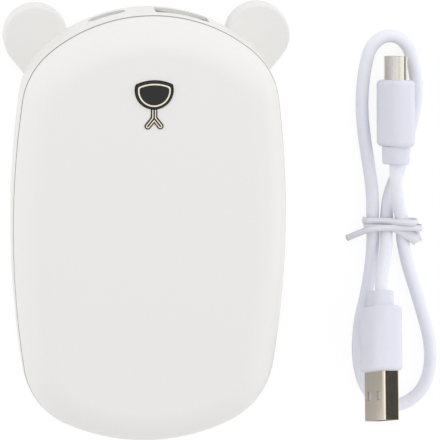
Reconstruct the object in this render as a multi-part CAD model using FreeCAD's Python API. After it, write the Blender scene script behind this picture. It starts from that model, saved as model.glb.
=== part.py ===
import FreeCAD, Part
import math
import os
from FreeCAD import Rotation, Vector

# Rechargeable hand warmer with two round ears, lying on its back beside its tied charging lead.
# X runs across, Y towards the ears, Z out of the front face, in millimetres. The origin lies on the
# surface that the back rests on, under the middle of the outline with its ears.

# Body: an outline of eight tangent arcs, a crowned front, a flat back and rolled edges
body_length = 109.5
body_width = 68.2
body_thickness = 27.5
widest_rise = 0.3
side_radius = 249.0
edge_roll = 9.5
crown_radius = 900.0

# Radii of the outline's other arcs, as shares of the width
top_radius_share = 0.575
shoulder_radius_share = 0.286
corner_radius_share = 0.29
bottom_radius_share = 0.7

# Housing walls and the parting line between rear housing and front cover
front_wall = 1.6
rear_wall = 1.6
side_wall = 2.0
seam_gap = 0.5
seam_depth = 1.2
lip_thickness = 1.0
lip_depth = 2.4
lip_root = 2.4
lip_clearance = 0.1
port_roof = 0.95
snap_length = 9.0
snap_height = 0.35
snap_thickness = 0.7
snap_drop = 0.9
snap_clearance = 0.12
snap_spacing = 36.0

# Ears, moulded on the rear housing
ear_radius = 8.0
ear_inset = 6.45
ear_rise = 0.4
ear_front = 9.2
ear_thickness = 5.6
ear_edge = 0.7
ear_root_in = 1.6
ear_root_drop = 8.5
ear_root_radius = 4.0

# Nose button and mouth badge on the front cover
nose_drop = 18.6
nose_width = 8.8
nose_height = 6.9
nose_shoulder = 1.0
nose_corner = 0.7
nose_rise = 0.4
nose_edge = 0.2
button_clearance = 0.2
button_travel = 0.4
flange_width = 0.9
flange_thickness = 0.8
flange_gap = 0.15
post_radius = 1.8
line_inset = 0.6
line_width = 0.35
line_depth = 0.3
line_rise = 0.06
stem_length = 2.3
stem_width = 1.5
leg_length = 2.5
leg_angle = 38.0
mouth_depth = 0.7
mouth_rise = 0.15
mouth_border = 0.3
mouth_line_width = 0.25
mouth_clearance = 0.05

# Battery cells in their cradle
cell_gap = 0.4
cell_end_room = 10.5
board_end_room = 33.8
cell_edge = 0.8
crimp_depth = 0.5
crimp_width = 1.6
crimp_drop = 3.2
cap_radius = 3.2
cap_height = 0.7
strip_width = 8.0
strip_thickness = 0.3
cradle_clearance = 0.3
cradle_wall = 1.6
cradle_height = 6.5
cradle_notch = 6.0

# Heating layers, from each cover inwards
plate_thickness = 0.6
film_thickness = 0.2
foam_thickness = 1.0
front_foam_room = 3.0
bond_gap = 0.05
plate_end_inset = 5.0
plate_corner = 5.0
layer_step = 1.5

# Circuit board and what sits on it
board_thickness = 1.2
board_side_gap = 6.1
board_wall_gap = 1.4
board_room = 3.4
boss_radius = 2.4
screw_radius = 0.9
screw_head_radius = 1.8
screw_head_height = 1.2
screw_length = 5.0
screw_clearance = 0.15
screw_margin = 3.8
low_screw_inset = 4.0
high_screw_inset = 7.0
high_screw_drop = 12.4
switch_size = 4.5
switch_height = 3.5
plunger_radius = 1.3
plunger_rise = 1.2
plunger_depth = 0.9
plunger_clearance = 0.1
chip_size = 5.0
chip_height = 0.9
chip_x = -9.5
chip_above_edge = 10.0
coil_size = 7.0
coil_height = 4.0
coil_corner = 1.5
coil_screw_gap = 7.5
coil_above_edge = 8.5
capacitor_radius = 2.0
capacitor_height = 4.5
capacitor_pitch = 4.6
capacitor_screw_gap = 5.6
led_width = 1.6
led_depth = 0.8
led_height = 0.6
led_pitch = 2.4
led_count = 4
led_gap = 0.7

# Ports on the ear end, square to the wall where they open
port_drop = 13.9
port_recess = 1.1
window_clearance = 0.25
usb_a_x = 8.0
usb_a_width = 13.1
usb_a_height = 5.7
usb_a_depth = 12.0
usb_a_wall = 0.35
usb_a_tongue_width = 11.0
usb_a_tongue_thickness = 1.8
usb_a_tongue_length = 8.6
usb_a_tongue_lift = 0.7
usb_a_contact_width = 1.0
usb_a_contact_thickness = 0.2
usb_a_contact_length = 6.6
usb_a_contact_pitch = 2.3
usb_a_contact_count = 4
usb_c_x = -10.5
usb_c_width = 9.0
usb_c_height = 3.2
usb_c_depth = 7.3
usb_c_wall = 0.3
usb_c_tongue_width = 6.7
usb_c_tongue_thickness = 0.7
usb_c_tongue_length = 4.5
socket_fit = 0.05

# Lead wires inside
lead_radius = 0.6
lead_pitch = 1.8
battery_lead_x = 4.0
screw_lead_gap = 7.4
lead_seat = 0.08
lead_run = 2.4

# Thermistor bead on the front heat plate
bead_radius = 0.8
bead_length = 2.6
bead_x = 6.0

# Charging lead: a round cord with a moulded plug at each end
cord_diameter = 3.3
plug_a_tail = Vector(60.3, -19.8, 8.6)
plug_a_pitch = 20.0
plug_a_roll = 75.7
plug_a_yaw = -1.3
plug_a_grip_width = 14.7
plug_a_grip_thickness = 7.9
plug_a_grip_length = 16.7
plug_a_collar_width = 8.4
plug_a_collar_thickness = 5.6
plug_a_collar_length = 3.9
plug_a_shell_width = 12.0
plug_a_shell_height = 4.5
plug_a_shell_length = 12.4
plug_a_shell_wall = 0.35
plug_a_shell_corner = 0.6
plug_a_window = 2.2
plug_a_window_pitch = 5.8
plug_a_window_drop = 5.1
plug_a_tongue_thickness = 1.9
plug_a_tongue_setback = 0.6
plug_a_contact_width = 1.2
plug_a_contact_thickness = 0.15
plug_a_contact_pitch = 2.3
plug_a_contact_setback = 2.2
plug_a_contact_count = 4
plug_c_tail = Vector(63.2, 13.6, 9.5)
plug_c_pitch = 10.0
plug_c_roll = 64.0
plug_c_grip_width = 11.9
plug_c_grip_thickness = 6.4
plug_c_grip_length = 16.8
plug_c_collar_width = 8.4
plug_c_collar_thickness = 5.0
plug_c_collar_length = 4.5
plug_c_shell_width = 8.3
plug_c_shell_height = 2.5
plug_c_shell_length = 6.0
plug_c_shell_wall = 0.3
plug_c_slot_width = 6.8
plug_c_slot_height = 0.8
plug_c_slot_depth = 5.0
plug_c_tongue_setback = 0.4
grip_edge = 1.2
collar_edge = 0.6
plug_fit = 0.1

# The cord's route from the small plug to the large one: down through the tie, round the lower loop,
# up through the tie, round the upper loop and down through the tie again, chosen by hand
cord_route = [
    (63.2, 13.6, 9.5), (63.2, 10.45, 10.055), (63.4, 7.0, 9.7), (64.05, 3.8, 8.25), (65.25, 0.4, 6.05),
    (66.3, -2.9, 3.95), (66.75, -7.1, 2.65), (68.2, -13.9, 1.75), (70.6, -21.7, 1.75), (73.1, -29.1, 1.75),
    (74.9, -35.7, 1.75), (75.2, -42.1, 1.75), (73.75, -47.8, 1.75), (70.0, -51.6, 1.75), (65.9, -52.9, 1.75),
    (62.0, -51.9, 1.75), (58.9, -48.6, 1.75), (56.9, -44.1, 1.75), (55.9, -37.9, 1.75), (56.2, -29.9, 1.75),
    (57.6, -21.5, 1.75), (58.6, -13.5, 1.75), (58.8, -7.1, 2.5), (58.6, -2.7, 3.3), (58.7, 1.7, 2.7),
    (58.5, 6.1, 1.75), (57.5, 12.1, 1.75), (56.3, 18.7, 1.75), (55.4, 25.9, 1.75), (55.5, 33.2, 1.75),
    (56.45, 39.6, 1.75), (57.7, 42.9, 1.75), (60.5, 45.1, 1.75), (63.9, 45.05, 1.75), (66.65, 42.9, 1.75),
    (68.1, 39.2, 1.75), (69.3, 33.6, 1.75), (69.4, 27.8, 1.75), (68.3, 22.0, 1.75), (66.8, 16.2, 1.75),
    (65.8, 11.2, 1.75), (63.9, 6.5, 1.75), (62.6, 2.1, 2.4), (62.4, -2.7, 3.3), (62.45, -6.4, 4.05),
    (62.0, -9.9, 5.2), (61.2, -13.3, 6.35), (60.372, -16.61, 7.439), (60.3, -19.8, 8.6),
]
arc_share = 0.45

# Twist tie: a wire in a plastic sleeve, two turns round the three strands and two tails
tie_diameter = 1.0
tie_route = [
    (52.8, -7.9, 1.1), (54.3, -6.6, 2.8), (55.7, -5.1, 6.2), (69.1, -4.5, 6.5), (69.3, -4.2, 0.55),
    (55.8, -3.8, 0.55), (55.7, -2.9, 6.0), (69.4, -2.9, 7.3), (70.9, -3.5, 3.9), (71.4, -6.2, 1.8),
    (71.6, -9.3, 1.0),
]

# Gap test of a cord against itself: spacing of its sample points
sample_step = 0.5

# Reach of every cut past the material, and the slope from which a direction counts as upright
overrun = 5.0
steep_share = 0.5

# Places that follow from the sizes above
body_top = (body_length - ear_rise) / 2
body_bottom = body_top - body_length
body_middle = (body_top + body_bottom) / 2
top_radius = body_width * top_radius_share
shoulder_radius = body_width * shoulder_radius_share
corner_radius = body_width * corner_radius_share
bottom_radius = body_width * bottom_radius_share
top_centre_y = body_top - top_radius
nose_y = body_top - nose_drop
ear_offset = body_width / 2 - ear_inset
ear_root_offset = ear_offset - ear_root_in
ear_y = body_top + ear_rise - ear_radius
port_height = body_thickness - port_drop
seam_height = port_height + usb_a_height / 2 + port_roof + lip_depth
cell_length = body_length - cell_end_room - board_end_room
rear_layers = rear_wall + plate_thickness + film_thickness + foam_thickness + bond_gap * 4
front_layers = front_wall + plate_thickness + film_thickness + front_foam_room + bond_gap * 4
cell_diameter = body_thickness - rear_layers - front_layers
cell_radius = cell_diameter / 2
cell_pitch = cell_diameter + cell_gap
cell_bottom = body_bottom + cell_end_room
cell_top = cell_bottom + cell_length
cell_height = rear_layers + cell_radius
cradle_half_width = cell_pitch / 2 + cell_radius + cradle_clearance
cradle_low = cell_bottom - strip_thickness - cradle_clearance
cradle_high = cell_top + cap_height + strip_thickness + cradle_clearance
board_low = cradle_high + board_room
board_top = port_height - usb_a_height / 2
board_under = board_top - board_thickness
board_half_width = body_width / 2 - side_wall - board_side_gap
low_screw_x = board_half_width - low_screw_inset
high_screw_x = board_half_width - high_screw_inset
low_screw_y = board_low + screw_margin
high_screw_y = body_top - high_screw_drop
screw_places = [(side * x, y) for x, y in ((low_screw_x, low_screw_y), (high_screw_x, high_screw_y))
                for side in (-1, 1)]
coil_x = low_screw_x - coil_screw_gap
heater_lead_x = screw_lead_gap - low_screw_x
switch_top = board_top + switch_height
plate_low = cell_bottom + plate_end_inset
plate_high = cell_top - plate_end_inset
plate_half_width = cradle_half_width - cradle_clearance
usb_c_height_place = board_top + usb_c_height / 2
up = Vector(0, 0, 1)


def circle_meeting(first, first_reach, second, second_reach):
    """The two points at the given distances from two centres in the plan."""
    step = second - first
    apart = step.Length
    along = (first_reach ** 2 - second_reach ** 2 + apart ** 2) / (2 * apart)
    aside = math.sqrt(first_reach ** 2 - along ** 2)
    step.normalize()
    foot = first + step * along
    across = Vector(-step.y, step.x, 0) * aside
    return foot + across, foot - across


def arc_edge(centre, radius, start_angle, end_angle):
    """Arc of a circle in the plan, by its end angles."""
    circle = Part.Circle(centre, up, radius)
    return Part.ArcOfCircle(circle, start_angle, end_angle).toShape()


def heading(start, end):
    return math.atan2(end.y - start.y, end.x - start.x)


def outline(inset):
    """Closed plan outline of the body, drawn in by inset: every arc keeps its centre."""
    top = Vector(0, top_centre_y, 0)
    bottom = Vector(0, body_bottom + bottom_radius, 0)
    side = Vector(body_width / 2 - side_radius, body_middle + widest_rise, 0)
    shoulders = circle_meeting(top, top_radius - shoulder_radius, side, side_radius - shoulder_radius)
    shoulder = max(shoulders, key=lambda point: point.y)
    corners = circle_meeting(bottom, bottom_radius - corner_radius, side, side_radius - corner_radius)
    corner = min(corners, key=lambda point: point.y)
    turns = [heading(bottom, corner), heading(side, corner), heading(side, shoulder), heading(top, shoulder)]
    half = [(corner, corner_radius, turns[0], turns[1]), (side, side_radius, turns[1], turns[2]),
            (shoulder, shoulder_radius, turns[2], turns[3])]
    edges = [arc_edge(top, top_radius - inset, turns[3], math.pi - turns[3])]
    edges.append(arc_edge(bottom, bottom_radius - inset, -math.pi - turns[0], turns[0]))
    for centre, radius, start, end in half:
        edges.append(arc_edge(centre, radius - inset, start, end))
        mirrored = Vector(-centre.x, centre.y, 0)
        edges.append(arc_edge(mirrored, radius - inset, math.pi - end, math.pi - start))
    return Part.Wire(Part.__sortEdges__(edges))


def prism(wire, low, high):
    """Upright solid over a closed plan wire."""
    face = Part.Face(wire)
    face.translate(Vector(0, 0, low))
    return face.extrude(Vector(0, 0, high - low))


def block(x_low, x_high, y_low, y_high, z_low, z_high):
    corner = Vector(x_low, y_low, z_low)
    return Part.makeBox(x_high - x_low, y_high - y_low, z_high - z_low, corner)


def upright_edges(solid):
    """Edges of a straight extrusion that run along Z."""
    return [edge for edge in solid.Edges if abs(edge.tangentAt(edge.FirstParameter).z) > steep_share]


def level_edges(solid):
    """Edges of a straight extrusion that lie in its end faces."""
    return [edge for edge in solid.Edges if abs(edge.tangentAt(edge.FirstParameter).z) < steep_share]


def rounded_plate_wire(half_width, y_low, y_high, corner):
    """Rectangle with rounded corners in the plan."""
    plate = block(-half_width, half_width, y_low, y_high, 0, corner)
    plate = plate.makeFillet(corner, upright_edges(plate))
    lowest = min(plate.Faces, key=lambda face: face.CenterOfMass.z)
    return lowest.OuterWire


def dome(drop):
    """Ball whose top is the crowned front, lowered by drop."""
    ball = Part.makeSphere(crown_radius - drop)
    ball.rotate(Vector(), Vector(1, 0, 0), 90)
    ball.translate(Vector(0, body_middle, body_thickness - crown_radius))
    return ball


def crown_height(x, y, drop=0):
    """Height of the crowned front, lowered by drop, over a place in the plan."""
    aside = x ** 2 + (y - body_middle) ** 2
    return body_thickness - crown_radius + math.sqrt((crown_radius - drop) ** 2 - aside)


def rolled_body(inset, low, drop):
    """Body outline between a flat back and the crowned front, with both edges rolled."""
    body = prism(outline(inset), low, body_thickness + overrun).common(dome(drop))
    rims = []
    for face in body.Faces:
        flat_back = isinstance(face.Surface, Part.Plane) and face.CenterOfMass.z < low + edge_roll
        if flat_back or isinstance(face.Surface, Part.Sphere):
            rims.extend(face.OuterWire.Edges)
    return body.makeFillet(edge_roll - inset, rims)


def ring(outer_inset, inner_inset, low, high):
    """Upright band between two insets of the outline."""
    return prism(outline(outer_inset), low, high).cut(prism(outline(inner_inset), low, high))


def crowned_layer(wire, drop, thickness):
    """Sheet of even thickness that follows the crown, over a plan wire."""
    slab = prism(wire, seam_height, body_thickness + overrun)
    return slab.common(dome(drop)).cut(dome(drop + thickness))


def snap_places(length):
    """Blocks along both long sides where the cover snaps into the housing."""
    spots = []
    for step in (-1, 1):
        middle = body_middle + step * snap_spacing / 2
        spots.append(block(-body_width, body_width, middle - length / 2, middle + length / 2,
                           0, body_thickness))
    return spots[0].fuse(spots[1])


def port_place(shape, x, height):
    """Turn a port drawn at the origin, mouth towards +Y, square to the wall at x."""
    turn = math.asin(x / top_radius)
    reach = top_radius - port_recess
    shape.rotate(Vector(), up, -math.degrees(turn))
    shape.translate(Vector(reach * math.sin(turn), top_centre_y + reach * math.cos(turn), height))
    return shape


def slot_bar(width, height, y_low, y_high):
    """Bar along Y with half-round sides, centred on the axis."""
    straight = (width - height) / 2
    radius = height / 2
    left = Vector(-straight, y_low, 0)
    right = Vector(straight, y_low, 0)
    edges = [Part.LineSegment(left + up * radius, right + up * radius).toShape(),
             Part.Arc(right + up * radius, right + Vector(radius, 0, 0), right - up * radius).toShape(),
             Part.LineSegment(right - up * radius, left - up * radius).toShape(),
             Part.Arc(left - up * radius, left - Vector(radius, 0, 0), left + up * radius).toShape()]
    return Part.Face(Part.Wire(edges)).extrude(Vector(0, y_high - y_low, 0))


def bar(width, height, y_low, y_high, lift=0):
    """Square-edged bar along Y, centred on the axis and lifted by lift."""
    return block(-width / 2, width / 2, y_low, y_high, lift - height / 2, lift + height / 2)


def folded_bar(width, height, y_low, y_high, corner):
    """Bar along Y with its four long edges rounded."""
    plain = bar(width, height, y_low, y_high)
    long_edges = [edge for edge in plain.Edges if abs(edge.tangentAt(edge.FirstParameter).y) > steep_share]
    return plain.makeFillet(corner, long_edges)


def rounded_path(points):
    """Straight runs joined by tangent arcs, each as large as its two runs allow, and the arcs' radii."""
    spots = [Vector(*point) for point in points]
    edges = []
    radii = []
    last = spots[0]
    for before, here, after in zip(spots, spots[1:], spots[2:]):
        back = before - here
        onward = after - here
        reach = arc_share * min(back.Length, onward.Length)
        turn = math.pi - back.getAngle(onward)
        radii.append(reach / math.tan(turn / 2))
        back.normalize()
        onward.normalize()
        start = here + back * reach
        end = here + onward * reach
        inward = (back + onward).normalize()
        middle = here + inward * (radii[-1] / math.cos(turn / 2) - radii[-1])
        edges.append(Part.LineSegment(last, start).toShape())
        edges.append(Part.Arc(start, middle, end).toShape())
        last = end
    edges.append(Part.LineSegment(last, spots[-1]).toShape())
    return Part.Wire(edges), radii


def tube(points, radius):
    """Round tube along a route, its path and its arcs' radii."""
    path, radii = rounded_path(points)
    start = Vector(*points[0])
    section = Part.Wire(Part.Circle(start, Vector(*points[1]) - start, radius).toShape())
    return path.makePipeShell([section], True, False), path, radii


def report_tube(name, solid, path, radii, diameter):
    """Print a tube's length, arcs, volume and least gap to itself."""
    spots = path.discretize(Distance=sample_step)
    skip = int(math.pi * diameter / sample_step)
    gaps = [a.distanceToPoint(b) for i, a in enumerate(spots) for b in spots[i + skip:]]
    expected = math.pi * diameter ** 2 / 4 * path.Length
    print(f"{name}: length {path.Length:.1f}, volume share {solid.Volume / expected:.4f},",
          f"least gap to itself {min(gaps) - diameter:.2f}")
    print(f"{name} radii:", " ".join(f"{radius:.1f}" for radius in radii))


def nose_face(grow):
    """Plan face of the nose: a bowl under a gently arched top edge, grown by grow."""
    half = nose_width / 2
    top = nose_y + nose_height / 2
    bowl_depth = nose_height - nose_shoulder
    arch_radius = (half ** 2 + nose_shoulder ** 2) / (2 * nose_shoulder)
    bowl_radius = (half ** 2 + bowl_depth ** 2) / (2 * bowl_depth)
    arch_centre = Vector(0, top - arch_radius, 0)
    bowl_centre = Vector(0, top - nose_height + bowl_radius, 0)
    ends = circle_meeting(arch_centre, arch_radius + grow, bowl_centre, bowl_radius + grow)
    left, right = sorted(ends, key=lambda point: point.x)
    arch = Part.Arc(left, Vector(0, top + grow, 0), right).toShape()
    bowl = Part.Arc(right, Vector(0, top - nose_height - grow, 0), left).toShape()
    solid = Part.Face(Part.Wire([arch, bowl])).extrude(Vector(0, 0, nose_corner))
    solid = solid.makeFillet(nose_corner, upright_edges(solid))
    return min(solid.Faces, key=lambda side: side.CenterOfMass.z)


def face_prism(face, low, high):
    moved = face.copy()
    moved.translate(Vector(0, 0, low))
    return moved.extrude(Vector(0, 0, high - low))


def mouth_face(narrow):
    """Plan face of the mouth: a stem from the nose that parts into two legs, drawn in by narrow."""
    fork = Vector(0, nose_y - nose_height / 2 - stem_length, 0)
    half = stem_width / 2 - narrow
    pieces = [block(-half, half, fork.y, nose_y, 0, stem_width)]
    pieces.append(Part.makeCylinder(half, stem_width, fork))
    for side in (-1, 1):
        leg = block(-half, half, -leg_length, 0, 0, stem_width)
        leg = leg.fuse(Part.makeCylinder(half, stem_width, Vector(0, -leg_length, 0)))
        leg.rotate(Vector(), up, side * leg_angle)
        leg.translate(fork)
        pieces.append(leg)
    whole = pieces[0].fuse(pieces[1:]).removeSplitter()
    return min(whole.Faces, key=lambda face: face.CenterOfMass.z)


def ear_wire(side):
    """Plan outline of an ear: a round lobe whose straight sides run to a smaller round in the body."""
    lobe = Vector(side * ear_offset, ear_y, 0)
    root = Vector(side * ear_root_offset, ear_y - ear_root_drop, 0)
    lean = heading(lobe, root)
    spread = math.acos((ear_radius - ear_root_radius) / (root - lobe).Length)
    edges = [arc_edge(lobe, ear_radius, lean + spread, lean - spread + 2 * math.pi),
             arc_edge(root, ear_root_radius, lean - spread, lean + spread)]
    for turn in (lean - spread, lean + spread):
        outward = Vector(math.cos(turn), math.sin(turn), 0)
        side_line = Part.LineSegment(lobe + outward * ear_radius, root + outward * ear_root_radius)
        edges.append(side_line.toShape())
    return Part.Wire(Part.__sortEdges__(edges))


def make_ear(side, core):
    """Flat ear with softened edges, ending inside the wall that carries it."""
    ear = prism(ear_wire(side), ear_front - ear_thickness, ear_front)
    return ear.makeFillet(ear_edge, level_edges(ear)).cut(core)


def make_rear_housing(outer, cavity):
    """Tub with the ears, port windows, cell cradle, board bosses, cover rebate and snap grooves."""
    core = rolled_body(side_wall / 2, rear_wall / 2, front_wall / 2)
    above = block(-body_width, body_width, -body_length, body_length, seam_height, body_thickness + overrun)
    tub = outer.cut(above).cut(cavity)
    tub = tub.cut(ring(-overrun, seam_depth, seam_height - seam_gap, seam_height))
    rebate_low = seam_height - lip_depth - lip_clearance
    tub = tub.cut(ring(side_wall - lip_clearance, side_wall + lip_thickness, rebate_low, seam_height))
    bosses = [Part.makeCylinder(boss_radius, board_under, Vector(x, y, 0)) for x, y in screw_places]
    inner_works = make_cradle().fuse(bosses).common(core)
    tub = tub.fuse([make_ear(-1, core), make_ear(1, core), inner_works])
    holes = [Part.makeCylinder(screw_radius, screw_length - board_thickness + screw_clearance,
                               Vector(x, y, board_top - screw_length - screw_clearance))
             for x, y in screw_places]
    tub = tub.cut(holes)
    windows = [port_place(bar(usb_a_width + 2 * window_clearance, usb_a_height + 2 * window_clearance,
                              -overrun, overrun), usb_a_x, port_height),
               port_place(slot_bar(usb_c_width + 2 * window_clearance, usb_c_height + 2 * window_clearance,
                                   -overrun, overrun), usb_c_x, usb_c_height_place)]
    tub = tub.cut(windows)
    groove = ring(side_wall - snap_height - snap_clearance, side_wall + lip_thickness,
                  seam_height - snap_drop - snap_thickness - snap_clearance,
                  seam_height - snap_drop + snap_clearance)
    return tub.cut(groove.common(snap_places(snap_length + 2 * snap_clearance))).removeSplitter()


def make_cradle():
    """Low wall round the two cells, standing on the floor of the housing, notched for the heater leads."""
    top = rear_wall + cradle_height
    outer = block(-cradle_half_width - cradle_wall, cradle_half_width + cradle_wall,
                  cradle_low - cradle_wall, cradle_high + cradle_wall, 0, top)
    inner = block(-cradle_half_width, cradle_half_width, cradle_low, cradle_high, 0, top)
    notch = block(heater_lead_x - cradle_notch / 2, heater_lead_x + cradle_notch / 2,
                  cradle_high - cradle_wall, cradle_high + 2 * cradle_wall, rear_wall, top)
    return outer.cut(inner).cut(notch)


def make_front_cover(outer, cavity):
    """Crowned cover with its locating lip, snap ridges, nose opening and mouth recess."""
    below = block(-body_width, body_width, -body_length, body_length, -overrun, seam_height)
    cover = outer.cut(below).cut(cavity)
    lip = ring(side_wall, side_wall + lip_thickness, seam_height - lip_depth, seam_height + lip_root)
    ridge = ring(side_wall - snap_height, side_wall + lip_thickness,
                 seam_height - snap_drop - snap_thickness, seam_height - snap_drop)
    cover = cover.fuse([lip, ridge.common(snap_places(snap_length))])
    cover = cover.cut(face_prism(nose_face(button_clearance), seam_height, body_thickness + overrun))
    mouth_floor = dome(mouth_depth)
    recess = face_prism(mouth_face(-mouth_clearance), seam_height, body_thickness + overrun).cut(mouth_floor)
    return cover.cut(recess).removeSplitter()


def make_nose_button():
    """Cap with a hidden flange and a post down to the switch, and the gold line let into the cap."""
    cap_low = crown_height(0, nose_y, front_wall + flange_gap) - flange_thickness
    cap = face_prism(nose_face(0), cap_low, body_thickness + overrun).common(dome(-nose_rise))
    rim = [face for face in cap.Faces if isinstance(face.Surface, Part.Sphere)][0].OuterWire.Edges
    cap = cap.makeFillet(nose_edge, rim)
    flange = face_prism(nose_face(flange_width), cap_low, body_thickness)
    flange = flange.common(dome(front_wall + flange_gap))
    post_low = switch_top + plunger_rise
    post = Part.makeCylinder(post_radius, cap_low - post_low, Vector(0, nose_y, post_low))
    button = cap.fuse([flange, post])
    line = face_prism(nose_face(-line_inset), seam_height, body_thickness + overrun)
    line = line.cut(face_prism(nose_face(-line_inset - line_width), seam_height, body_thickness + overrun))
    line = line.cut(dome(line_depth - nose_rise)).common(dome(-nose_rise - line_rise))
    return button.cut(line).removeSplitter(), line


def make_mouth():
    """Dark badge in its recess, up to the edge of the nose opening, and the gold line along its border."""
    high = body_thickness + overrun
    opening = face_prism(nose_face(button_clearance), seam_height, high)
    badge = face_prism(mouth_face(0), seam_height, high).cut(opening)
    badge = badge.cut(dome(mouth_depth)).common(dome(-mouth_rise))
    line = face_prism(mouth_face(mouth_border), seam_height, high)
    line = line.cut(face_prism(mouth_face(mouth_border + mouth_line_width), seam_height, high)).cut(opening)
    line = line.cut(dome(mouth_depth / 2)).common(dome(-mouth_rise - line_rise))
    return badge.cut(line), line


def make_cell(side):
    """Cylindrical cell with its crimp groove, rounded edges and raised cap at the ear end."""
    crimp_low = cell_length - crimp_drop - crimp_width
    crimp_high = crimp_low + crimp_width
    cap_end = cell_length + cap_height
    profile = [(0, 0), (cell_radius - cell_edge, 0), (cell_radius, cell_edge), (cell_radius, crimp_low),
               (cell_radius - crimp_depth, (crimp_low + crimp_high) / 2), (cell_radius, crimp_high),
               (cell_radius, cell_length - cell_edge), (cell_radius - cell_edge, cell_length),
               (cap_radius, cell_length), (cap_radius, cap_end), (0, cap_end), (0, 0)]
    wire = Part.makePolygon([Vector(x, y, 0) for x, y in profile])
    cell = Part.Face(wire).revolve(Vector(), Vector(0, 1, 0), 360)
    cell.translate(Vector(side * cell_pitch / 2, cell_bottom, cell_height))
    return cell


def make_strips():
    """Nickel strips that join the two cells, one across each end."""
    half = cell_pitch / 2 + cap_radius
    low = block(-half, half, cell_bottom - strip_thickness, cell_bottom,
                cell_height - strip_width / 2, cell_height + strip_width / 2)
    end = cell_top + cap_height
    high = block(-half, half, end, end + strip_thickness,
                 cell_height - strip_width / 2, cell_height + strip_width / 2)
    return low, high


def make_heating_layers():
    """Heat plate, heater film and foam pad behind each cover, from the cover inwards."""
    layers = {}
    plate = rounded_plate_wire(plate_half_width, plate_low, plate_high, plate_corner)
    inner = rounded_plate_wire(plate_half_width - layer_step, plate_low + layer_step,
                               plate_high - layer_step, plate_corner)
    drop = front_wall + bond_gap
    layers["front_heat_plate"] = crowned_layer(plate, drop, plate_thickness)
    drop += plate_thickness + bond_gap
    layers["front_heater_film"] = crowned_layer(inner, drop, film_thickness)
    drop += film_thickness + bond_gap
    pad = prism(inner, cell_height + cell_radius + bond_gap, body_thickness + overrun)
    layers["front_foam_pad"] = pad.common(dome(drop))
    low = rear_wall + bond_gap
    for name, wire, thickness in (("rear_heat_plate", plate, plate_thickness),
                                  ("rear_heater_film", inner, film_thickness),
                                  ("rear_foam_pad", inner, foam_thickness)):
        layers[name] = prism(wire, low, low + thickness)
        low += thickness + bond_gap
    return layers


def make_board():
    """Circuit board shaped to the ear end, with its screw holes."""
    board = prism(outline(side_wall + board_wall_gap), board_under, board_top)
    board = board.common(block(-board_half_width, board_half_width, board_low, body_top, 0, body_thickness))
    holes = [Part.makeCylinder(screw_radius + screw_clearance, board_thickness, Vector(x, y, board_under))
             for x, y in screw_places]
    return board.cut(holes)


def make_screws():
    """Round-headed screws through the board into the bosses."""
    screws = []
    for x, y in screw_places:
        shank = Part.makeCylinder(screw_radius, screw_length, Vector(x, y, board_top - screw_length))
        head = Part.makeCylinder(screw_head_radius, screw_head_height, Vector(x, y, board_top))
        head = head.makeFillet(screw_head_height / 2, [max(head.Edges, key=lambda edge: edge.CenterOfMass.z)])
        screws.append(shank.fuse(head).removeSplitter())
    return Part.makeCompound(screws)


def make_switch():
    """Tactile switch body with its bore, and the plunger that rises from it."""
    half = switch_size / 2
    body = block(-half, half, nose_y - half, nose_y + half, board_top, switch_top)
    bore_depth = plunger_depth + button_travel + plunger_clearance
    place = Vector(0, nose_y, switch_top - bore_depth)
    body = body.cut(Part.makeCylinder(plunger_radius + plunger_clearance, bore_depth, place))
    plunger = Part.makeCylinder(plunger_radius, plunger_depth + plunger_rise,
                                Vector(0, nose_y, switch_top - plunger_depth))
    return body, plunger


def make_board_parts():
    """Chip, inductor, capacitors and indicator lamps that stand on the board."""
    parts = {}
    half = chip_size / 2
    y = board_low + chip_above_edge
    parts["controller_chip"] = block(chip_x - half, chip_x + half, y - half, y + half,
                                     board_top, board_top + chip_height)
    half = coil_size / 2
    y = board_low + coil_above_edge
    coil = block(coil_x - half, coil_x + half, y - half, y + half, board_top, board_top + coil_height)
    parts["inductor"] = coil.makeFillet(coil_corner, upright_edges(coil))
    y = low_screw_y + capacitor_screw_gap
    spots = [Vector(-low_screw_x, y + step * capacitor_pitch, board_top) for step in (0, 1)]
    cans = [Part.makeCylinder(capacitor_radius, capacitor_height, spot) for spot in spots]
    parts["capacitors"] = Part.makeCompound(cans)
    lamps = []
    y = nose_y - (switch_size + led_depth) / 2 - led_gap
    for index in range(led_count):
        x = (index - (led_count - 1) / 2) * led_pitch
        lamps.append(block(x - led_width / 2, x + led_width / 2, y - led_depth / 2, y + led_depth / 2,
                           board_top, board_top + led_height))
    parts["status_leds"] = Part.makeCompound(lamps)
    return parts


def make_usb_a_port():
    """Type A socket: folded metal shell, plastic core with its tongue, and four contacts."""
    shell = bar(usb_a_width, usb_a_height, -usb_a_depth, 0)
    room_width = usb_a_width - 2 * usb_a_wall
    room_height = usb_a_height - 2 * usb_a_wall
    shell = shell.cut(bar(room_width, room_height, -usb_a_depth + usb_a_wall, overrun))
    base_end = -port_recess - usb_a_tongue_length
    core = bar(room_width - 2 * socket_fit, room_height - 2 * socket_fit, -usb_a_depth + usb_a_wall, base_end)
    tongue = bar(usb_a_tongue_width, usb_a_tongue_thickness, base_end, -port_recess, usb_a_tongue_lift)
    core = core.fuse(tongue)
    contacts = []
    under = usb_a_tongue_lift - usb_a_tongue_thickness / 2 - usb_a_contact_thickness / 2
    for index in range(usb_a_contact_count):
        contact = bar(usb_a_contact_width, usb_a_contact_thickness, base_end,
                      base_end + usb_a_contact_length, under)
        contact.translate(Vector((index - (usb_a_contact_count - 1) / 2) * usb_a_contact_pitch, 0, 0))
        contacts.append(contact)
    shapes = {"usb_a_port_shell": shell, "usb_a_port_core": core.removeSplitter(),
              "usb_a_port_contacts": Part.makeCompound(contacts)}
    return {name: port_place(shape, usb_a_x, port_height) for name, shape in shapes.items()}


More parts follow.
